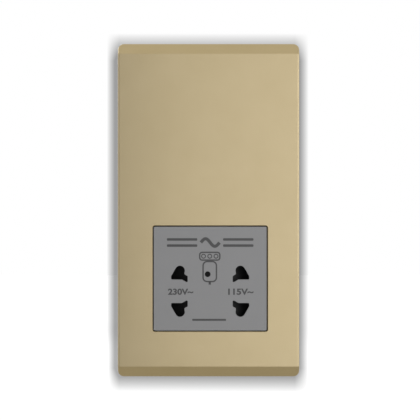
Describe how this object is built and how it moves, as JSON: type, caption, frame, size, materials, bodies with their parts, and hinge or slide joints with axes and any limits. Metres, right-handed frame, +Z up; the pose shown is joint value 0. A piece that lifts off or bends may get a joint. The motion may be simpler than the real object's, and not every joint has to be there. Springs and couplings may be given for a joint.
{
  "type": "shaver socket",
  "caption": "Two-gang shaver socket with a satin brass plate, grey face with shuttered pin openings, and a transformer behind",
  "frame": {"origin": "midway between the two fixing holes, on the wall face (the plane of the plate's and frame's rear edges)", "axes": "+Z up, +X to the right seen from the front, +Y into the wall; the face looks along -Y"},
  "size_m": [0.086, 0.049, 0.158],
  "materials": {
    "satin_brass": "satin",
    "frame_nylon": "matte",
    "grey_plastic": "satin",
    "black_plastic": "matte",
    "spring_steel": "satin",
    "switch_plastic": "satin",
    "plunger_plastic": "satin",
    "bronze_strip": "satin",
    "carrier_plastic": "matte",
    "case_plastic": "matte",
    "lamination_steel": "satin",
    "bobbin_plastic": "matte",
    "winding_wire": "gloss",
    "tinned_brass": "gloss",
    "cutout_plastic": "satin",
    "zinc_steel": "satin",
    "block_plastic": "matte",
    "terminal_brass": "satin"
  },
  "bodies": {
    "housing": {"front_plate": "satin_brass", "mounting_frame": "frame_nylon", "socket_face": "grey_plastic", "shutter_spring_230v": "spring_steel", "shutter_spring_115v": "spring_steel", "start_switch_230v": "switch_plastic", "start_switch_115v": "switch_plastic", "contact_230v_upper": "bronze_strip", "contact_230v_lower": "bronze_strip", "contact_115v_upper": "bronze_strip", "contact_115v_lower": "bronze_strip", "contact_carrier": "carrier_plastic", "rear_case": "case_plastic", "transformer_core": "lamination_steel", "transformer_bobbin": "bobbin_plastic", "primary_winding": "winding_wire", "secondary_winding": "winding_wire", "bobbin_tags": "tinned_brass", "thermal_cutout": "cutout_plastic", "core_clamp": "zinc_steel", "terminal_block": "block_plastic", "live_terminal": "terminal_brass", "earth_terminal": "terminal_brass", "neutral_terminal": "terminal_brass", "terminal_screws": "zinc_steel", "earth_clip": "bronze_strip", "case_screws": "zinc_steel"},
    "shutter_230v": {"shutter_230v": "black_plastic"},
    "shutter_115v": {"shutter_115v": "black_plastic"},
    "switch_plunger_230v": {"switch_plunger_230v": "plunger_plastic"},
    "switch_plunger_115v": {"switch_plunger_115v": "plunger_plastic"}
  },
  "joints": [
    {"name": "shutter_230v_slide", "type": "slide", "parent": "housing", "child": "shutter_230v", "axis": [1, 0, 0], "range_m": [0, 0.0083], "stiffness_N_per_m": 100, "springref_m": -0.005, "deforming": ["shutter_spring_230v"]},
    {"name": "shutter_115v_slide", "type": "slide", "parent": "housing", "child": "shutter_115v", "axis": [-1, 0, 0], "range_m": [0, 0.0083], "stiffness_N_per_m": 100, "springref_m": -0.005, "deforming": ["shutter_spring_115v"]},
    {"name": "switch_plunger_230v_slide", "type": "slide", "parent": "housing", "child": "switch_plunger_230v", "axis": [0, 1, 0], "range_m": [0, 0.0008]},
    {"name": "switch_plunger_115v_slide", "type": "slide", "parent": "housing", "child": "switch_plunger_115v", "axis": [0, 1, 0], "range_m": [0, 0.0008]}
  ],
  "couplings": [
    {"joint": "switch_plunger_230v_slide", "follows": "shutter_230v_slide", "ratio": 0.095972},
    {"joint": "switch_plunger_115v_slide", "follows": "shutter_115v_slide", "ratio": 0.095972}
  ]
}
